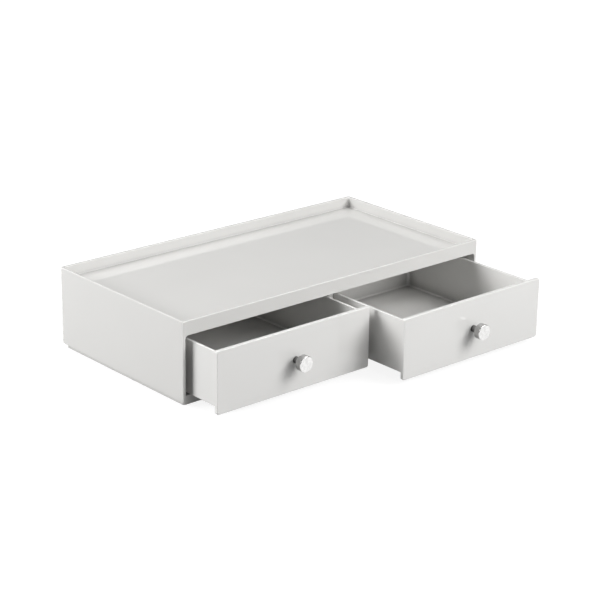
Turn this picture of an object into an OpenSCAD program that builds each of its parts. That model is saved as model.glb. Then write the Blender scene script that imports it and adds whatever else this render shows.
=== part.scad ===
// Stackable drawer box: a low moulded case with a rimmed tray on top, a recessed foot ring
// that nests in the rim of the box below, and two drawers side by side with turned metal knobs.
// Millimetres, +Z up, the front faces -Y, origin at the centre of the underside.

/* [Case] */
// Width over the side walls
case_w = 324; // [260:1:420]
// Depth from the front edges of the walls to the back
case_d = 166; // [140:1:240]
// Height of the walls, from their lower edge to the top of the rim
wall_h = 67; // [56:1:100]
// Thickness of the side and back walls and of the rim
wall = 2.5; // [2:0.1:3.2]
// Radius of the two upright corners at the back
back_corner_r = 2.6; // [1.4:0.1:5]
// Radius of the two upright corners at the front
front_corner_r = 1; // [0.9:0.1:1.4]
// Rounding along both top edges of the rim
rim_edge_r = 0.7; // [0.3:0.1:0.9]
// Depth of the tray, from the rim down to its floor
tray_depth = 9.5; // [5:0.5:16]
// Fillet between the tray floor and the rim
tray_fillet_r = 0.8; // [0.4:0.1:1.2]
// Thickness of the tray floor
tray_floor_t = 2.5; // [2:0.1:4]
// Radius of the two upper corners of the drawer opening
opening_corner_r = 3; // [1:0.5:8]

/* [Base] */
// Height of the foot ring below the walls
foot_h = 4.4; // [2:0.1:6]
// Thickness of the foot ring
foot_wall = 2.2; // [1.6:0.1:3]
// Room between the foot ring and the rim that it nests in
stack_gap = 0.4; // [0.2:0.1:1]
// Thickness of the base plate
base_t = 2.2; // [1.8:0.1:3]
// Height of the base plate above the lower edge of the walls
base_recess = 1.2; // [0.6:0.1:2]
// Room round the edge of the base plate
base_gap = 0.2; // [0.1:0.1:0.5]
// Thickness of the stiffening ribs under the base plate
base_rib_t = 1.5; // [1:0.1:2.5]
// Cells of the rib grid across the width
rib_cells_x = 4; // [2:2:8]
// Cells of the rib grid over the depth
rib_cells_y = 2; // [2:1:5]
// Diameter of a foot pad
pad_d = 10; // [6:0.5:14]
// Thickness of a foot pad
pad_t = 1.6; // [1.2:0.1:2.4]
// How far the foot pads stand proud of the foot ring
pad_proud = 0.4; // [0.3:0.1:1]
// Distance of the pad centres from the outside of the foot ring
pad_inset = 15; // [14:0.5:24]

/* [Partition] */
// Thickness of the partition between the drawers
partition_t = 2; // [1.6:0.1:3]
// Diameter of the screw posts at both ends of the partition
post_d = 6; // [5.6:0.1:6.2]
// Distance of the front post from the front of the case
post_setback = 12; // [9:0.5:30]

/* [Drawer fronts] */
// Thickness of a drawer front
front_t = 3; // [2.4:0.1:4]
// Gap between a closed front and the top of the opening
front_gap_top = 1.5; // [0.8:0.1:3]
// Gap between a closed front and the side wall
front_gap_side = 1; // [0.6:0.1:2]
// Gap between the two fronts
front_gap_mid = 1.2; // [0.8:0.1:3]
// Height of the fronts' lower edge above the lower edge of the walls
front_lift = 0.8; // [0.4:0.1:1.5]
// Radius of the four corners of a front
front_r = 2; // [0.8:0.1:4]
// Rounding along the edge of a front's face
front_edge_r = 0.7; // [0.3:0.1:0.8]

/* [Drawer boxes] */
// Thickness of the walls of a drawer box
box_wall = 2.3; // [1.8:0.1:3]
// Thickness of the floor of a drawer box
box_floor = 2.2; // [1.8:0.1:3]
// How far a front reaches past its box at each side
lap_side = 4.2; // [3.5:0.1:6]
// How far a front reaches past its box at the top
lap_top = 3.5; // [2:0.1:5]
// How far a front reaches past its box at the bottom
lap_bottom = 3.8; // [3.6:0.1:5]
// Room behind a closed drawer, for the screw bosses of the case
back_room = 10.5; // [10.5:0.5:30]
// Radius of the two upright outer corners at the back of a box
box_back_r = 4; // [1.2:0.1:6]
// Fillet between the floor and the walls of a box
box_fillet_r = 1.6; // [0.8:0.1:2.6]
// Radius of the upright inner corners of a box
box_inner_r = 2.6; // [1.6:0.1:5]
// Rounding along the top edges of a box
box_edge_r = 0.5; // [0.3:0.1:0.8]
// How far a drawer slides from closed until its tab meets the stop rib
travel = 120; // [90:1:124]
// How far the left drawer stands open
left_pull = 38; // [0:0.5:90]
// How far the right drawer stands open
right_pull = 77.5; // [0:0.5:90]
// Running room between a drawer and what carries or guides it
slide_gap = 0.3; // [0.2:0.1:0.6]

/* [Knobs] */
// Length of a knob from the drawer front to its face
knob_len = 13.2; // [12:0.2:20]
// Diameter of the knob's face
knob_d = 13.4; // [11:0.2:16]
// Diameter of the knob's neck
neck_d = 5.8; // [5.2:0.1:7]
// Radius of the concave flare from the neck to the head
flare_r = 4.7; // [4:0.1:7]
// Thickness of the knob's head outside the flare
knob_head_t = 5.6; // [3:0.1:6.6]
// Rounding round the knob's face
knob_edge_r = 0.6; // [0.3:0.1:1.2]
// Diameter of the knob screws
knob_screw_d = 3; // [3:0.5:4]
// Length of the knob screws under their heads
knob_screw_len = 12; // [10:1:14]

/* [Hidden] */
$fn = 64;

// Levels, from the resting surface up
ring_z = pad_proud;
wall_z = ring_z + foot_h;
plate_z = wall_z + base_recess;
plate_top_z = plate_z + base_t;
rim_z = wall_z + wall_h;
tray_z = rim_z - tray_depth;
ceiling_z = tray_z - tray_floor_t;
front_z = wall_z + front_lift;
front_top_z = ceiling_z - front_gap_top;
box_z = front_z + lap_bottom;
box_top_z = front_top_z - lap_top;

// Plan
front_y = -case_d / 2;
back_y = case_d / 2;
inside_w = case_w - 2 * wall;
inside_d = case_d - 2 * wall;
inside_back_y = back_y - wall;
inside_corner_r = 0.8;
tray_corner_r = 1.6;
cut = 1;
lip = 0.2;

// Front of the base: behind the closed drawer fronts and inside the rim that it nests in
base_front_y = front_y + max(wall + stack_gap, front_t + slide_gap);

// Base screws: pan-head tapping screws, driven from below
screw_d = 2.8;
screw_hole_d = 3.2;
screw_head_d = 5.6;
screw_head_h = 1.8;
screw_len = 8.5;
screw_tip_room = 0.5;
pilot_gap = 0.05;
boss_d = 6.6;
boss_inset = stack_gap + foot_wall + screw_head_d / 2 + 0.6;
boss_web = boss_inset + wall / 2;
boss_x = inside_w / 2 - boss_inset;
boss_y = inside_back_y - boss_inset;
post_front_y = front_y + post_setback;
post_back_y = boss_y;

// Screw heads: rounding, and width and depth of the cross, as shares of the head
head_edge_share = 0.6;
recess_share = 0.55;
recess_w = 0.8;

// Foot ring and pad pockets
ring_w = case_w - 2 * (wall + stack_gap);
ring_d = back_y - wall - stack_gap - base_front_y;
ring_r = 2.4;
ring_edge_r = 0.6;
pad_gap = 0.15;
rib_lift = 1;
rib_z = ring_z + rib_lift;
pad_seat_t = 1.6;
pad_edge_r = 0.4;

// Snap tongues of the base plate and the catches that they pass on the side walls
tongue_w = 12;
tongue_t = 1.4;
tongue_h = 9;
barb = 0.7;
catch_out = 0.9;
catch_h = 1.2;
catch_land = 0.3;
catch_root = 0.2;
catch_side = 1;
catch_lift = 4;
catch_z = plate_top_z + catch_lift;
snap_gap = 0.2;
snap_ys = [front_y + case_d * 0.2, front_y + case_d * 0.6];

// Ribs that hold the partition's top edge
groove_rib_t = 1.2;
groove_rib_h = 1.6;
groove_rib_room = 1;

// Stop rib under the tray floor and stop tab on each drawer
stop_rib_t = 2;
stop_rib_h = 2.6;
stop_rib_inset = 4;
stop_tab_w = 36;
stop_tab_room = 1;
stop_tab_root = 4;

// Drawers, given closed; each is then moved forward by its pull
box_outer_r = 0.8;
closed_front_w = (inside_w - 2 * front_gap_side - front_gap_mid) / 2;
front_h = front_top_z - front_z;
drawer_x = front_gap_mid / 2 + closed_front_w / 2;
box_w = closed_front_w - 2 * lap_side;
box_h = box_top_z - box_z;
box_front_y = front_y + front_t;
box_back_y = inside_back_y - back_room;
box_d = box_back_y - box_front_y;
tab_face_y = box_back_y - box_wall;
stop_rib_y = tab_face_y - travel - slide_gap;

// Runners: low ribs on the base plate that the drawer floors slide on
runner_w = 1.6;
runner_h = box_z - slide_gap - plate_top_z;
runner_inset = 12;
runner_setback = 4;
runner_front_y = front_y + front_t + runner_setback;
runner_back_y = box_back_y;

// Guide ribs beside each drawer box and the stops behind it
guide_t = 1.2;
guide_h = 5.6;
back_stop_w = 24;
back_stop_t = 1.6;
back_stop_h = 8;

// Locating pins of a drawer front
pin_d = 4;
pin_gap = 0.1;
pin_x = closed_front_w / 4;

// Knob, its screw and washer
knob_z = (front_z + front_top_z) / 2;
knob_hole_gap = 0.2;
knob_hole_d = knob_screw_d + 2 * knob_hole_gap;
knob_thread_gap = 0.05;
knob_bore_room = 0.8;
knob_screw_head_rim = 1.3;
knob_screw_head_d = knob_screw_d + 2 * knob_screw_head_rim;
knob_screw_head_h = 0.8 * knob_screw_d;
washer_rim = 0.7;
washer_d = knob_screw_head_d + 2 * washer_rim;
washer_t = 0.5;
knob_stack = front_t + box_wall + washer_t;
knob_bore = knob_screw_len - knob_stack + knob_bore_room;

// Section of a rounded edge: the outer face stands at x = r, h high
module edge_section(r, h, top_r, bottom_r) {
    difference() {
        square([r, h]);
        if (top_r > 0) translate([r, h]) rotate([0, 0, 180]) corner_waste(top_r);
        if (bottom_r > 0) translate([r, 0]) mirror([1, 0]) corner_waste(bottom_r);
    }
}

// What a rounding of radius r takes off a square corner at the origin
module corner_waste(r) {
    difference() {
        translate([-lip, -lip]) square(r + lip);
        translate([r, r]) circle(r);
    }
}

// Block centred on the origin in plan, with rounded upright corners and rounded long edges
module rounded_block(w, d, h, front_r, back_r, top_r = 0, bottom_r = 0) {
    for (side = [0, 1]) mirror([side, 0, 0]) {
        translate([w / 2 - front_r, -d / 2 + front_r, 0])
            rotate_extrude(angle = -90) edge_section(front_r, h, top_r, bottom_r);
        translate([w / 2 - back_r, d / 2 - back_r, 0]) {
            rotate_extrude(angle = 90) edge_section(back_r, h, top_r, bottom_r);
            rotate([90, 0, 0]) linear_extrude(d - front_r - back_r)
                edge_section(back_r, h, top_r, bottom_r);
        }
    }
    translate([-w / 2 + back_r, d / 2 - back_r, 0]) rotate([90, 0, 90])
        linear_extrude(w - 2 * back_r) edge_section(back_r, h, top_r, bottom_r);
    translate([w / 2 - front_r, -d / 2 + front_r, 0]) rotate([90, 0, -90])
        linear_extrude(w - 2 * front_r) edge_section(front_r, h, top_r, bottom_r);
    translate([-w / 2 + back_r, -d / 2 + front_r, 0])
        cube([w - 2 * back_r, d - front_r - back_r, h]);
}

// Cutter that rounds the upper inside edges of a w by d opening whose brim lies at z = 0
module rounded_brim(w, d, r, edge_r) {
    for (side = [0, 1]) mirror([side, 0, 0]) {
        for (end = [0, 1]) mirror([0, end, 0]) translate([w / 2 - r, d / 2 - r, 0])
            rotate_extrude(angle = 90) translate([r, 0]) mirror([0, 1]) corner_waste(edge_r);
        translate([w / 2, d / 2 - r, 0]) rotate([90, 0, 0]) linear_extrude(d - 2 * r)
            mirror([0, 1]) corner_waste(edge_r);
    }
    for (end = [0, 1]) mirror([0, end, 0])
        translate([-w / 2 + r, d / 2, 0]) rotate([90, 0, 90]) linear_extrude(w - 2 * r)
            mirror([0, 1]) corner_waste(edge_r);
}

// Flat outline with rounded corners, for extruding
module rounded_outline(w, d, r) {
    for (x = [-1, 1], y = [-1, 1]) translate([x * (w / 2 - r), y * (d / 2 - r)]) circle(r);
    square([w - 2 * r, d], center = true);
    square([w, d - 2 * r], center = true);
}

// Drawer opening seen from the front: square below, rounded above
module opening_outline() {
    translate([-inside_w / 2, 0]) square([inside_w, ceiling_z - opening_corner_r]);
    translate([-inside_w / 2 + opening_corner_r, 0])
        square([inside_w - 2 * opening_corner_r, ceiling_z]);
    for (side = [-1, 1])
        translate([side * (inside_w / 2 - opening_corner_r), ceiling_z - opening_corner_r])
            circle(opening_corner_r);
}

// Case: rimmed tray, sides and back in one moulding, with its bosses, catches and ribs
module case_shell() {
    color("gainsboro") {
        difference() {
            translate([0, 0, wall_z])
                rounded_block(case_w, case_d, wall_h, front_corner_r, back_corner_r, rim_edge_r);
            translate([0, 0, tray_z])
                rounded_block(inside_w, inside_d, tray_depth + cut,
                    tray_corner_r, tray_corner_r, 0, tray_fillet_r);
            translate([0, 0, rim_z])
                rounded_brim(inside_w, inside_d, tray_corner_r, rim_edge_r);
            linear_extrude(ceiling_z) rounded_outline(inside_w, inside_d, inside_corner_r);
            translate([0, front_y + 2 * wall, 0]) rotate([90, 0, 0])
                linear_extrude(2 * wall + cut) opening_outline();
        }
        for (side = [-1, 1]) {
            corner_boss(side);
            for (y = snap_ys) snap_catch(side, y);
            partition_groove_rib(side);
            stop_rib(side);
        }
    }
}

// Screw boss in a back corner, tied to both walls by webs
module corner_boss(side) {
    translate([side * boss_x, boss_y, plate_top_z]) difference() {
        union() {
            cylinder(h = ceiling_z - plate_top_z, d = boss_d);
            translate([side > 0 ? 0 : -boss_web, -wall / 2, 0])
                cube([boss_web, wall, ceiling_z - plate_top_z]);
            translate([-wall / 2, 0, 0]) cube([wall, boss_web, ceiling_z - plate_top_z]);
        }
        translate([0, 0, -cut]) cylinder(h = screw_len + cut, d = screw_d + 2 * pilot_gap);
    }
}

// Catch on a side wall that a tongue of the base plate snaps over
module snap_catch(side, y) {
    translate([side * inside_w / 2, y, catch_z]) mirror([side > 0 ? 0 : 1, 0, 0])
        rotate([90, 0, 0]) translate([0, 0, -tongue_w / 2 - catch_side])
            linear_extrude(tongue_w + 2 * catch_side)
                polygon([[0, 0], [-catch_root, 0], [-catch_out, catch_h - catch_land],
                    [-catch_out, catch_h], [0, catch_h]]);
}

// One of the two ribs that hold the top edge of the partition
module partition_groove_rib(side) {
    x = partition_t / 2 + pilot_gap;
    end_room = post_d / 2 + groove_rib_room;
    translate([side > 0 ? x : -x - groove_rib_t, post_front_y + end_room, ceiling_z - groove_rib_h])
        cube([groove_rib_t, post_back_y - post_front_y - 2 * end_room, groove_rib_h]);
}

// Rib under the tray floor that stops a drawer at the end of its travel
module stop_rib(side) {
    w = box_w - 2 * stop_rib_inset;
    translate([side * drawer_x - w / 2, stop_rib_y - stop_rib_t, ceiling_z - stop_rib_h])
        cube([w, stop_rib_t, stop_rib_h]);
}

// Base: plate with the foot ring and rib grid below; runners, guides and stops above
module base_panel() {
    plate_d = inside_back_y - base_gap - base_front_y;
    color("gainsboro") difference() {
        union() {
            translate([0, base_front_y + plate_d / 2, plate_z]) linear_extrude(base_t)
                rounded_outline(inside_w - 2 * base_gap, plate_d, inside_corner_r);
            translate([0, base_front_y + ring_d / 2, ring_z]) difference() {
                rounded_block(ring_w, ring_d, plate_z - ring_z, ring_r, ring_r, 0, ring_edge_r);
                translate([0, 0, -cut]) linear_extrude(plate_z - ring_z + cut)
                    rounded_outline(ring_w - 2 * foot_wall, ring_d - 2 * foot_wall, inside_corner_r);
            }
            base_ribs();
            for (p = pad_places()) translate([p[0], p[1], ring_z])
                cylinder(h = plate_z - ring_z, d = pad_d + 2 * pad_seat_t);
            for (side = [-1, 1], end = [-1, 1]) {
                runner(side * drawer_x + end * (box_w / 2 - runner_inset), runner_w, runner_h);
                runner(side * drawer_x + end * (box_w / 2 + slide_gap + guide_t / 2), guide_t, guide_h);
            }
            for (side = [-1, 1])
                translate([side * drawer_x - back_stop_w / 2, box_back_y + slide_gap, plate_top_z])
                    cube([back_stop_w, back_stop_t, back_stop_h]);
            for (side = [0, 1], y = snap_ys) mirror([side, 0, 0]) snap_tongue(y);
        }
        for (p = base_screw_places()) translate([p[0], p[1], plate_z - cut])
            cylinder(h = base_t + 2 * cut, d = screw_hole_d);
        for (p = pad_places()) translate([p[0], p[1], ring_z - cut])
            cylinder(h = pad_t - pad_proud + cut, d = pad_d + 2 * pad_gap);
    }
}

// Rib along the base plate, centred on x
module runner(x, w, h) {
    translate([x - w / 2, runner_front_y, plate_top_z])
        cube([w, runner_back_y - runner_front_y, h]);
}

// Rib grid under the base plate, clear of the resting surface; two ribs pass the middle screws
module base_ribs() {
    middle_x = screw_head_d / 2 + base_rib_t / 2 + 1;
    for (side = [-1, 1]) {
        base_rib(side * middle_x);
        for (i = [1 : 1 : rib_cells_x / 2 - 1]) base_rib(side * i * ring_w / rib_cells_x);
    }
    for (i = [1 : 1 : rib_cells_y - 1])
        translate([-ring_w / 2 + cut, base_front_y + i * ring_d / rib_cells_y - base_rib_t / 2, rib_z])
            cube([ring_w - 2 * cut, base_rib_t, plate_z - rib_z]);
}

module base_rib(x) {
    translate([x - base_rib_t / 2, base_front_y + cut, rib_z])
        cube([base_rib_t, ring_d - 2 * cut, plate_z - rib_z]);
}

// Tongue standing on the base plate beside the right-hand wall, with its barb over the catch
module snap_tongue(y) {
    outer_x = inside_w / 2 - catch_out - snap_gap;
    barb_z = catch_z + catch_h + snap_gap - plate_top_z;
    translate([outer_x, y, plate_top_z]) rotate([90, 0, 0])
        translate([0, 0, -tongue_w / 2]) linear_extrude(tongue_w)
            polygon([[0, 0], [0, barb_z], [barb, barb_z], [0, tongue_h], [-tongue_t, tongue_h],
                [-tongue_t, 0]]);
}

function base_screw_places() = [
    [-boss_x, boss_y], [boss_x, boss_y], [0, post_front_y], [0, post_back_y]
];

function pad_places() = [
    [0, 0],
    for (x = [-ring_w / 2 + pad_inset, ring_w / 2 - pad_inset],
        y = [base_front_y + pad_inset, base_front_y + ring_d - pad_inset]) [x, y]
];

// Partition: a thin upright wall between two screw posts, standing on the base plate
module centre_partition() {
    h = ceiling_z - plate_top_z;
    color("whitesmoke") difference() {
        union() {
            translate([-partition_t / 2, post_front_y, plate_top_z])
                cube([partition_t, post_back_y - post_front_y, h]);
            for (y = [post_front_y, post_back_y]) translate([0, y, plate_top_z])
                cylinder(h = h, d = post_d);
        }
        for (y = [post_front_y, post_back_y]) translate([0, y, plate_top_z - cut])
            cylinder(h = screw_len + cut, d = screw_d + 2 * pilot_gap);
    }
}

// Four tapping screws that hold the base to the bosses and posts
module base_screws() {
    color("silver") for (p = base_screw_places()) translate([p[0], p[1], plate_z]) {
        cylinder(h = screw_len - screw_tip_room, d = screw_d);
        translate([0, 0, -screw_head_h]) difference() {
            pan_head(screw_head_d, screw_head_h);
            cross_recess(screw_head_d, screw_head_h);
        }
    }
}

// Screw head with a rounded outer edge, face down at z = 0
module pan_head(d, h) {
    rotate_extrude() difference() {
        square([d / 2, h]);
        translate([d / 2, 0]) mirror([1, 0]) corner_waste(h * head_edge_share);
    }
}

// Cross in the face of a screw head d wide and h high
module cross_recess(d, h) {
    size = d * recess_share;
    for (turn = [0, 90]) rotate([0, 0, turn])
        translate([-size / 2, -recess_w / 2, -cut]) cube([size, recess_w, h * recess_share + cut]);
}

// Soft pads set into seats in the foot ring's corners and under the middle
module foot_pads() {
    color("dimgray") for (p = pad_places()) translate([p[0], p[1], 0])
        rotate_extrude() difference() {
            square([pad_d / 2, pad_t]);
            translate([pad_d / 2, 0]) mirror([1, 0]) corner_waste(pad_edge_r);
        }
}

// Drawer box: open tray with its own front wall, filleted inside, and the stop tab at the back
module drawer_box() {
    color("gainsboro") difference() {
        union() {
            translate([0, (box_front_y + box_back_y) / 2, box_z])
                rounded_block(box_w, box_d, box_h, box_outer_r, box_back_r, box_edge_r, box_outer_r);
            translate([-stop_tab_w / 2, tab_face_y, box_top_z - stop_tab_root])
                cube([stop_tab_w, box_wall, ceiling_z - stop_tab_room - box_top_z + stop_tab_root]);
        }
        translate([0, (box_front_y + box_back_y) / 2, box_z + box_floor])
            rounded_block(box_w - 2 * box_wall, box_d - 2 * box_wall, box_h,
                box_inner_r, box_inner_r, 0, box_fillet_r);
        translate([0, (box_front_y + box_back_y) / 2, box_top_z])
            rounded_brim(box_w - 2 * box_wall, box_d - 2 * box_wall, box_inner_r, box_edge_r);
        for (x = [-pin_x, pin_x]) front_hole(x, pin_d + 2 * pin_gap);
        front_hole(0, knob_hole_d);
    }
}

// Hole through the front wall of a drawer box
module front_hole(x, d) {
    translate([x, box_front_y - cut, knob_z]) rotate([-90, 0, 0])
        cylinder(h = box_wall + 2 * cut, d = d);
}

// Drawer front: flat panel with rounded corners and edges, and two locating pins behind
module drawer_front() {
    color("whitesmoke") difference() {
        union() {
            translate([0, box_front_y, (front_z + front_top_z) / 2]) rotate([90, 0, 0])
                rounded_block(closed_front_w, front_h, front_t, front_r, front_r, front_edge_r);
            for (x = [-pin_x, pin_x]) translate([x, box_front_y, knob_z]) rotate([-90, 0, 0])
                cylinder(h = box_wall, d = pin_d);
        }
        translate([0, front_y - cut, knob_z]) rotate([-90, 0, 0])
            cylinder(h = front_t + 2 * cut, d = knob_hole_d);
    }
}

// Turned knob: straight neck, concave flare and a drum-shaped head with a flat face
module knob() {
    rise = (knob_d - neck_d) / 2;
    flare_len = sqrt(flare_r * flare_r - (flare_r - rise) * (flare_r - rise));
    neck_len = knob_len - knob_head_t - flare_len;
    color("silver") translate([0, front_y, knob_z]) rotate([90, 0, 0]) difference() {
        rotate_extrude() difference() {
            square([knob_d / 2, knob_len]);
            translate([neck_d / 2, -cut]) square([knob_d, neck_len + cut]);
            intersection() {
                translate([neck_d / 2 + flare_r, neck_len]) circle(flare_r, $fn = 128);
                translate([neck_d / 2, neck_len - cut]) square([knob_d, flare_len + cut]);
            }
            translate([knob_d / 2, knob_len]) rotate([0, 0, 180]) corner_waste(knob_edge_r);
        }
        translate([0, 0, -cut])
            cylinder(h = knob_bore + cut, d = knob_screw_d + 2 * knob_thread_gap);
    }
}

// Screw from inside the drawer, through washer, box wall and front, into the knob
module knob_screw() {
    head_y = box_front_y + box_wall + washer_t;
    color("silver") translate([0, head_y, knob_z]) rotate([90, 0, 0]) {
        cylinder(h = knob_screw_len, d = knob_screw_d);
        translate([0, 0, -knob_screw_head_h]) difference() {
            pan_head(knob_screw_head_d, knob_screw_head_h);
            cross_recess(knob_screw_head_d, knob_screw_head_h);
        }
    }
}

module knob_washer() {
    color("silver") translate([0, box_front_y + box_wall, knob_z]) rotate([-90, 0, 0])
        difference() {
            cylinder(h = washer_t, d = washer_d);
            translate([0, 0, -cut]) cylinder(h = washer_t + 2 * cut, d = knob_hole_d);
        }
}

// Puts a closed drawer's piece in its bay and slides it forward
module left_drawer() { translate([-drawer_x, -left_pull, 0]) children(); }
module right_drawer() { translate([drawer_x, -right_pull, 0]) children(); }

case_shell();
base_panel();
centre_partition();
base_screws();
foot_pads();
left_drawer() drawer_box();  // left_drawer_box
left_drawer() drawer_front();  // left_drawer_front
left_drawer() knob();  // left_knob
left_drawer() knob_screw();  // left_knob_screw
left_drawer() knob_washer();  // left_knob_washer
right_drawer() drawer_box();  // right_drawer_box
right_drawer() drawer_front();  // right_drawer_front
right_drawer() knob();  // right_knob
right_drawer() knob_screw();  // right_knob_screw
right_drawer() knob_washer();  // right_knob_washer
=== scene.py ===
"""Looks for the stackable drawer box: light grey moulded case and drawers, bright metal knobs.

All the pieces come from model.glb. Here they get their finishes, and the scene its floor, lamps and camera.
Lengths are in metres, noise scales in cells per metre, colours in linear red, green and blue.
"""
import math

import bpy
from mathutils import Matrix, Vector


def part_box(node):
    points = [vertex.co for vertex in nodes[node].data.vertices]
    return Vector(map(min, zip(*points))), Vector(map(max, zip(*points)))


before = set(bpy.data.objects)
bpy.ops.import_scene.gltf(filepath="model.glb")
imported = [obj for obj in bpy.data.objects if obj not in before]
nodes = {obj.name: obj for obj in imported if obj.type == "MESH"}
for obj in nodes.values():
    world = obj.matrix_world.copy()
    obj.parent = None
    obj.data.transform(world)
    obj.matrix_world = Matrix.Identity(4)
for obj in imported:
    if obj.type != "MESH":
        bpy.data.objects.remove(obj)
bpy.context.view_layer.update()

CASE_GREY = (0.66, 0.655, 0.64)
BASE_GREY = (0.62, 0.615, 0.60)
DRAWER_GREY = (0.745, 0.74, 0.725)
# painted highlight: the lighter grey laid on rounded edges in place of their highlights
EDGE_HIGHLIGHT_GREY = (0.88, 0.875, 0.86)
STEEL_GREY = (0.55, 0.55, 0.56)
NICKEL_TINT = (1.0, 0.995, 0.985)
PAD_BLACK = (0.035, 0.035, 0.036)
WHITE = (1, 1, 1, 1)

PLASTIC_IOR = 1.5
NOISE_SPAN = (0.3, 0.7)  # most of a noise's values lie between these

# ---------------------------------------------------------------- node tools


def new_group(name, inputs, outputs):
    """A shader node group with its sockets; returns the group, its input node and its output node."""
    group = bpy.data.node_groups.new(name, "ShaderNodeTree")
    for label, kind, value in inputs:
        socket = group.interface.new_socket(name=label, in_out="INPUT", socket_type=kind)
        if value is not None:
            socket.default_value = value
    for label, kind in outputs:
        group.interface.new_socket(name=label, in_out="OUTPUT", socket_type=kind)
    return group, group.nodes.new("NodeGroupInput"), group.nodes.new("NodeGroupOutput")


def new_material(name):
    """A node material; returns it, its node tree and its shader."""
    material = bpy.data.materials.new(name)
    material.use_nodes = True
    tree = material.node_tree
    return material, tree, tree.nodes["Principled BSDF"]


def add_node(tree, kind, inputs=None, **settings):
    """Adds a node, sets its properties, and sets or links its inputs by name or number."""
    node = tree.nodes.new(kind)
    for key, value in settings.items():
        setattr(node, key, value)
    for key, value in (inputs or {}).items():
        if isinstance(value, bpy.types.NodeSocket):
            tree.links.new(value, node.inputs[key])
        else:
            node.inputs[key].default_value = value
    return node


def feed(tree, node, sources):
    """Links each source to the node's input of that name."""
    for label, source in sources.items():
        tree.links.new(source, node.inputs[label])


def object_place(tree):
    """The point's place in the object's own frame."""
    return add_node(tree, "ShaderNodeTexCoord").outputs["Object"]


def noise(tree, place, scale, detail, **more):
    """Soft random pattern from 0 to 1."""
    inputs = {"Vector": place, "Scale": scale, "Detail": detail, **more}
    return add_node(tree, "ShaderNodeTexNoise", inputs).outputs["Fac"]


def ramp(tree, value, span, result=(0.0, 1.0), **settings):
    """Carries the values of one span over to another, held at its ends."""
    inputs = {
        "Value": value, "From Min": span[0], "From Max": span[1], "To Min": result[0], "To Max": result[1],
    }
    return add_node(tree, "ShaderNodeMapRange", inputs, **settings).outputs["Result"]


def calculate(tree, operation, first, second):
    """One step of arithmetic on two numbers."""
    return add_node(tree, "ShaderNodeMath", {0: first, 1: second}, operation=operation).outputs["Value"]


def scaled(tree, color, level):
    """A colour times a number."""
    inputs = {0: color, "Scale": level}
    return add_node(tree, "ShaderNodeVectorMath", inputs, operation="SCALE").outputs["Vector"]


def vector_length(tree, vector):
    """The length of a vector."""
    return add_node(tree, "ShaderNodeVectorMath", {0: vector}, operation="LENGTH").outputs["Value"]


def blend_numbers(tree, share, first, second):
    """The first number where the share is 0, the second where it is 1.

    The sockets of a Mix node share their names among its kinds, so here and below they go by number.
    """
    return add_node(tree, "ShaderNodeMix", {0: share, 2: first, 3: second}, data_type="FLOAT").outputs[0]


def blend_colors(tree, share, first, second):
    """The first colour where the share is 0, the second where it is 1."""
    return add_node(tree, "ShaderNodeMix", {0: share, 6: first, 7: second}, data_type="RGBA").outputs[2]


def relief(tree, height, depth):
    """Surface normal of a height map whose full height is `depth`."""
    inputs = {"Height": height, "Strength": 1.0, "Distance": depth}
    return add_node(tree, "ShaderNodeBump", inputs).outputs["Normal"]


# ---------------------------------------------------------------- shared effects


def make_painted_light_masks(name, own_piece_only):
    """Masks for painted light on a moulding: a painted highlight on its rounded outer edges, and painted
    shade in its crevices.

    An edge's painted highlight counts in full where it stands upright and less where it lies level. `Reach`
    is how far from a point it looks for other walls. A piece that moves, or that others move past, looks at
    its own walls only.
    """
    group, start, end = new_group(
        name,
        [("Reach", "NodeSocketFloat", 0.004)],
        [("Edge", "NodeSocketFloat"), ("Crevice", "NodeSocketFloat")],
    )
    normal = add_node(group, "ShaderNodeTexCoord").outputs["Normal"]
    lean = add_node(group, "ShaderNodeVectorMath", {0: normal}, operation="ABSOLUTE").outputs["Vector"]
    parts = add_node(group, "ShaderNodeSeparateXYZ", {"Vector": lean}).outputs
    widest = calculate(group, "MAXIMUM", calculate(group, "MAXIMUM", parts["X"], parts["Y"]), parts["Z"])
    # painted highlight: marks rounded edges where the normal leans between two axes, full upright and
    # weaker level
    on_a_wall, round_an_edge = 0.99, 0.9
    rounded = ramp(group, widest, (on_a_wall, round_an_edge))
    faces_sideways, faces_half_up = 0.1, 0.5
    level_edge_strength = 0.35
    upright = ramp(group, parts["Z"], (faces_sideways, faces_half_up), (1.0, level_edge_strength))

    # painted shade: ambient occlusion finds walls close by, and the crevice mask marks where the colour is
    # darkened as shade
    openness = add_node(
        group, "ShaderNodeAmbientOcclusion", {"Distance": start.outputs["Reach"]},
        samples=6, only_local=own_piece_only,
    ).outputs["AO"]
    enclosed, sheltered, free = 0.35, 0.6, 0.85
    bare = ramp(group, openness, (sheltered, free))
    feed(group, end, {
        "Edge": calculate(group, "MULTIPLY", calculate(group, "MULTIPLY", rounded, upright), bare),
        "Crevice": ramp(group, openness, (free, enclosed)),
    })
    return group


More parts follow.
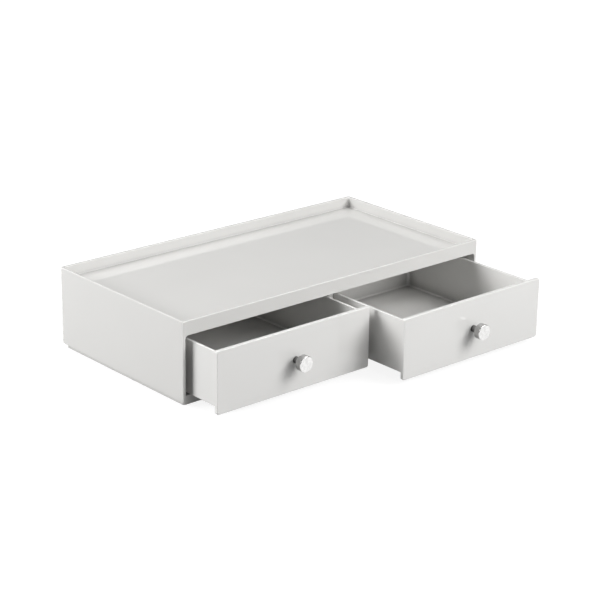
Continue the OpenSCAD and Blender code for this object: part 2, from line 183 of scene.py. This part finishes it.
def make_moulded_skin():
    """Slow tone drift, handling haze and gentle flow ripples of a glossy injection moulding, with a painted
    highlight on its edges and painted shade in its crevices.
    """
    group, start, end = new_group(
        "moulded_skin",
        [
            ("Color", "NodeSocketColor", (0.7, 0.7, 0.7, 1)),
            ("Highlight Color", "NodeSocketColor", (0.8, 0.8, 0.8, 1)),
            ("Edge", "NodeSocketFloat", 0.0),
            ("Crevice", "NodeSocketFloat", 0.0),
            ("Crevice Shade", "NodeSocketFloat", 0.6),
            ("Roughness", "NodeSocketFloat", 0.06),
            ("Haze", "NodeSocketFloat", 0.04),
        ],
        [("Color", "NodeSocketColor"), ("Roughness", "NodeSocketFloat"), ("Height", "NodeSocketFloat")],
    )
    given = start.outputs
    place = object_place(group)

    darkest, lightest = 0.985, 1.015
    drift = noise(group, place, scale=9.0, detail=2.0)
    toned = scaled(group, given["Color"], ramp(group, drift, NOISE_SPAN, (darkest, lightest)))
    # painted highlight: the edge mask blends in the lighter highlight colour
    highlighted = blend_colors(group, given["Edge"], toned, given["Highlight Color"])
    # painted shade: the colour is darkened where the crevice mask is high
    shade = ramp(group, given["Crevice"], (0.0, 1.0), (1.0, given["Crevice Shade"]))

    clear, hazy = 0.45, 0.75
    wiped = noise(group, place, scale=26.0, detail=4.0, Roughness=0.6, Distortion=0.6)
    haze = ramp(group, wiped, (clear, hazy), (0.0, given["Haze"]))
    feed(group, end, {
        "Color": scaled(group, highlighted, shade),
        "Roughness": calculate(group, "ADD", given["Roughness"], haze),
        "Height": noise(group, place, scale=22.0, detail=1.0),
    })
    return group


def make_turned_marks():
    """A turned surface about the Y axis of `Place`: a lathe's rings, a mask of the face, and smears.

    The face lies out along -Y. Its mask rises from 0 at the distance `Face From` to 1 at `Face To`.
    """
    group, start, end = new_group(
        "turned_marks",
        [
            ("Place", "NodeSocketVector", None),
            ("Ring Scale", "NodeSocketFloat", 2500.0),
            ("Face From", "NodeSocketFloat", 0.0125),
            ("Face To", "NodeSocketFloat", 0.013),
        ],
        [("Rings", "NodeSocketFloat"), ("Face", "NodeSocketFloat"), ("Smear", "NodeSocketFloat")],
    )
    given = start.outputs
    place = given["Place"]

    across_axis = (1.0, 0.0, 1.0)
    off_axis = add_node(group, "ShaderNodeVectorMath", {0: place, 1: across_axis}, operation="MULTIPLY")
    radius = vector_length(group, off_axis.outputs["Vector"])
    along = add_node(group, "ShaderNodeSeparateXYZ", {"Vector": place}).outputs["Y"]
    rings = add_node(
        group, "ShaderNodeTexNoise",
        {"W": calculate(group, "ADD", radius, along), "Scale": given["Ring Scale"], "Detail": 3.0},
        noise_dimensions="1D",
    )
    outward = calculate(group, "MULTIPLY", along, -1.0)
    feed(group, end, {
        "Rings": rings.outputs["Fac"],
        "Face": ramp(group, outward, (given["Face From"], given["Face To"])),
        "Smear": noise(group, place, scale=420.0, detail=3.0),
    })
    return group


# masks for painted edge highlight and painted crevice shade; the shared one also counts neighbouring
# pieces' walls
OWN_PAINTED_LIGHT = make_painted_light_masks("own_painted_light_masks", own_piece_only=True)
SHARED_PAINTED_LIGHT = make_painted_light_masks("shared_painted_light_masks", own_piece_only=False)
MOULDED_SKIN = make_moulded_skin()
TURNED_MARKS = make_turned_marks()

# ---------------------------------------------------------------- materials


def plastic(name, color, highlight_color, roughness, haze, reach=0.004, shade_level=0.8, light_masks=OWN_PAINTED_LIGHT):
    """Glossy moulded plastic with a painted highlight on its softly rounded edges and painted shade in its
    crevices.
    """
    material, tree, shader = new_material(name)
    edges = add_node(tree, "ShaderNodeGroup", {"Reach": reach}, node_tree=light_masks).outputs
    skin = add_node(
        tree, "ShaderNodeGroup",
        {"Color": (*color, 1), "Highlight Color": (*highlight_color, 1), "Edge": edges["Edge"],
         "Crevice": edges["Crevice"], "Crevice Shade": shade_level, "Roughness": roughness, "Haze": haze},
        node_tree=MOULDED_SKIN,
    ).outputs
    feed(tree, shader, {
        "Base Color": skin["Color"],
        "Roughness": skin["Roughness"],
        "Normal": relief(tree, skin["Height"], depth=0.00002),
    })
    shader.inputs["IOR"].default_value = PLASTIC_IOR
    return material


def steel(name, color, roughness, spread, grain_scale, grain_depth):
    """Bright plated steel with fine grain, rougher by up to `spread` where it is smeared."""
    material, tree, shader = new_material(name)
    place = object_place(tree)
    grain = noise(tree, place, scale=grain_scale, detail=3.0)
    smear = noise(tree, place, scale=140.0, detail=2.0)
    dull, bright = 0.96, 1.0
    feed(tree, shader, {
        "Base Color": scaled(tree, color, ramp(tree, smear, NOISE_SPAN, (dull, bright))),
        "Roughness": ramp(tree, smear, NOISE_SPAN, (roughness, roughness + spread)),
        "Normal": relief(tree, grain, grain_depth),
    })
    shader.inputs["Metallic"].default_value = 1.0
    return material


def knob_nickel(name, node):
    """Nickel-plated turned knob: bright satin face; sides darkened by a painted dark reflection, near black
    towards the root by painted shade.
    """
    face_tone, painted_reflection_tone, painted_root_shade_tone = 0.78, 0.4, 0.08
    side_end, face_start = 0.0007, 0.0002  # how far behind the face its brightness sets in and is full
    smear_span, smear_tones = (0.35, 0.65), (0.93, 1.05)
    polished, scored = 0.12, 0.22

    material, tree, shader = new_material(name)
    lowest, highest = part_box(node)
    length = highest[1] - lowest[1]
    root = ((lowest[0] + highest[0]) / 2, highest[1], (lowest[2] + highest[2]) / 2)
    centred = add_node(
        tree, "ShaderNodeMapping",
        {"Vector": object_place(tree), "Location": tuple(-value for value in root)},
    ).outputs["Vector"]
    marks = add_node(
        tree, "ShaderNodeGroup",
        {"Place": centred, "Face From": length - side_end, "Face To": length - face_start},
        node_tree=TURNED_MARKS,
    ).outputs
    depth = add_node(tree, "ShaderNodeSeparateXYZ", {"Vector": centred}).outputs["Y"]
    # painted dark reflection along the sides, deepening to painted shade at the root
    side = ramp(tree, depth, (-0.5 * length, 0.0), (painted_reflection_tone, painted_root_shade_tone))
    tone = blend_numbers(tree, marks["Face"], side, face_tone)
    mottle = ramp(tree, marks["Smear"], smear_span, smear_tones)
    feed(tree, shader, {
        "Base Color": scaled(tree, NICKEL_TINT, calculate(tree, "MULTIPLY", tone, mottle)),
        "Roughness": ramp(tree, marks["Rings"], NOISE_SPAN, (polished, scored)),
        "Normal": relief(tree, marks["Rings"], depth=0.000006),
    })
    shader.inputs["Metallic"].default_value = 1.0
    return material


def rubber(name, color):
    """Soft dark rubber with dust in its pores."""
    material, tree, shader = new_material(name)
    pores = noise(tree, object_place(tree), scale=900.0, detail=3.0)
    clean, dusty = 0.85, 1.3
    feed(tree, shader, {
        "Base Color": scaled(tree, color, ramp(tree, pores, NOISE_SPAN, (clean, dusty))),
        "Normal": relief(tree, pores, depth=0.00005),
    })
    shader.inputs["Roughness"].default_value = 0.75
    return material


case_plastic = plastic("case_plastic", CASE_GREY, EDGE_HIGHLIGHT_GREY, roughness=0.06, haze=0.05)
# base panel: the case grey on its edges is a painted highlight, and its shade under the case wall a painted
# shadow
base_plastic = plastic(
    "base_plastic", BASE_GREY, CASE_GREY, roughness=0.12, haze=0.05, reach=0.003, shade_level=0.6,
    light_masks=SHARED_PAINTED_LIGHT,
)
# drawer boxes: a long reach and deep level give painted shade deep in the gap between the drawers
drawer_plastic = plastic(
    "drawer_plastic", DRAWER_GREY, EDGE_HIGHLIGHT_GREY, roughness=0.07, haze=0.05, reach=0.015, shade_level=0.45
)
front_plastic = plastic("front_plastic", DRAWER_GREY, EDGE_HIGHLIGHT_GREY, roughness=0.05, haze=0.04)
screw_steel = steel(
    "screw_steel", STEEL_GREY, roughness=0.28, spread=0.12, grain_scale=1800.0, grain_depth=0.00001
)
pad_rubber = rubber("pad_rubber", PAD_BLACK)

FINISH = {
    "case_shell": case_plastic,
    "base_panel": base_plastic,
    "centre_partition": case_plastic,
    "base_screws": screw_steel,
    "foot_pads": pad_rubber,
}
for side in ("left", "right"):
    FINISH[f"{side}_drawer_box"] = drawer_plastic
    FINISH[f"{side}_drawer_front"] = front_plastic
    FINISH[f"{side}_knob"] = knob_nickel(f"{side}_knob_nickel", f"{side}_knob")
    FINISH[f"{side}_knob_screw"] = screw_steel
    FINISH[f"{side}_knob_washer"] = screw_steel

for name, material in FINISH.items():
    mesh = nodes[name].data
    mesh.materials.clear()
    mesh.materials.append(material)

# ---------------------------------------------------------------- floor, light and camera


def white_floor(size, floor_grey, near, far):
    """Pale floor that reads as white round the object and keeps its shadow.

    `near` and `far` are each a distance from the middle and a level. The floor also glows, at the level of
    `near` close to the object and rising to that of `far`, but only for the camera and in reflections, so
    that all it throws on the object is light off its grey.
    """
    bpy.ops.mesh.primitive_plane_add(size=size, location=(0, 0, 0))
    floor = bpy.context.object
    floor.name = "floor"
    material, tree, shader = new_material("floor_white")
    shader.inputs["Base Color"].default_value = (floor_grey, floor_grey, floor_grey, 1)
    shader.inputs["Roughness"].default_value = 0.9
    shader.inputs["Specular IOR Level"].default_value = 0.0
    shader.inputs["Emission Color"].default_value = WHITE
    rays = add_node(tree, "ShaderNodeLightPath").outputs
    seen = calculate(tree, "MAXIMUM", rays["Is Camera Ray"], rays["Is Glossy Ray"])
    away = vector_length(tree, object_place(tree))
    whiter = ramp(tree, away, (near[0], far[0]), (near[1], far[1]))
    feed(tree, shader, {"Emission Strength": calculate(tree, "MULTIPLY", seen, whiter)})
    floor.data.materials.append(material)


def studio_world(sweep, overhead, room):
    """White sweep behind the object, fading upward, and a dimmer room behind the camera.

    The levels are those of the sweep at the horizon, of the ceiling, and of the room.
    The camera itself sees plain white wherever it looks past the floor.
    """
    world = bpy.data.worlds.new("studio")
    world.use_nodes = True
    tree = world.node_tree
    background = tree.nodes["Background"]
    background.inputs["Color"].default_value = WHITE
    direction = add_node(tree, "ShaderNodeTexCoord").outputs["Generated"]
    height = add_node(tree, "ShaderNodeSeparateXYZ", {"Vector": direction}).outputs["Z"]
    sweep_end, ceiling_start = 0.3, 0.6
    fade = ramp(
        tree, height, (sweep_end, ceiling_start), (sweep, overhead), interpolation_type="SMOOTHSTEP"
    )
    camera_heading = (0.66, 0.75, 0.0)
    room_end, sweep_start = -0.5, 0.3
    ahead = add_node(
        tree, "ShaderNodeVectorMath", {0: direction, 1: camera_heading}, operation="DOT_PRODUCT"
    ).outputs["Value"]
    share = ramp(tree, ahead, (room_end, sweep_start), interpolation_type="SMOOTHSTEP")
    around = blend_numbers(tree, share, room, fade)
    camera_ray = add_node(tree, "ShaderNodeLightPath").outputs["Is Camera Ray"]
    feed(tree, background, {"Strength": calculate(tree, "MAXIMUM", around, camera_ray)})
    bpy.context.scene.world = world


def soft_lamp(name, size, power, toward, distance):
    """Square softbox that faces the object, about its middle, from the given direction."""
    middle = Vector((0, -0.05, 0.03))
    lamp = bpy.data.lights.new(name, "AREA")
    lamp.shape = "SQUARE"
    lamp.size = size
    lamp.energy = power
    holder = bpy.data.objects.new(name, lamp)
    bpy.context.scene.collection.objects.link(holder)
    direction = Vector(toward).normalized()
    holder.location = middle + direction * distance
    holder.rotation_euler = direction.to_track_quat("Z", "Y").to_euler()


def photo_camera(azimuth, elevation, roll, lens, x, y, above_case):
    """Camera at the photograph's viewing angle, found from the case's own edges.

    The angles are in degrees, the lens is in millimetres, and `above_case` is the height over the rim.
    """
    azimuth, elevation, roll = math.radians(azimuth), math.radians(elevation), math.radians(roll)
    back = Vector((
        math.sin(azimuth) * math.cos(elevation),
        -math.cos(azimuth) * math.cos(elevation),
        math.sin(elevation),
    ))
    right = Vector((math.cos(azimuth), math.sin(azimuth), 0))
    up = back.cross(right)
    right_rolled = right * math.cos(roll) + up * math.sin(roll)
    up_rolled = up * math.cos(roll) - right * math.sin(roll)
    turn = Matrix((right_rolled, up_rolled, back)).transposed()

    camera = bpy.data.cameras.new("photo_camera")
    camera.lens = lens
    camera.sensor_width = 36
    camera.sensor_fit = "HORIZONTAL"
    camera.clip_start = 0.05
    camera.clip_end = 60
    holder = bpy.data.objects.new("photo_camera", camera)
    bpy.context.scene.collection.objects.link(holder)
    case_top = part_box("case_shell")[1][2]
    place = Vector((x, y, case_top + above_case))
    holder.matrix_world = Matrix.Translation(place) @ turn.to_4x4()
    bpy.context.scene.camera = holder


white_floor(size=12, floor_grey=0.2, near=(0.35, 0.88), far=(1.2, 1.0))
studio_world(sweep=0.33, overhead=0.10, room=0.06)
soft_lamp("key", size=0.9, power=19, toward=(0.54, -0.87, 0.72), distance=1.7)
soft_lamp("front_fill", size=2.0, power=22.5, toward=(0.1, -1.0, 0.5), distance=2.2)
soft_lamp("side", size=0.8, power=27.5, toward=(-0.905, 0.43, 0.48), distance=1.7)
soft_lamp("back", size=1.0, power=7, toward=(-0.2, 0.5, 1.0), distance=1.8)
photo_camera(
    azimuth=-41.34, elevation=20.08, roll=0.88, lens=114.09, x=-0.9945, y=-1.1650, above_case=0.5176
)
bpy.context.scene.view_settings.view_transform = "Standard"
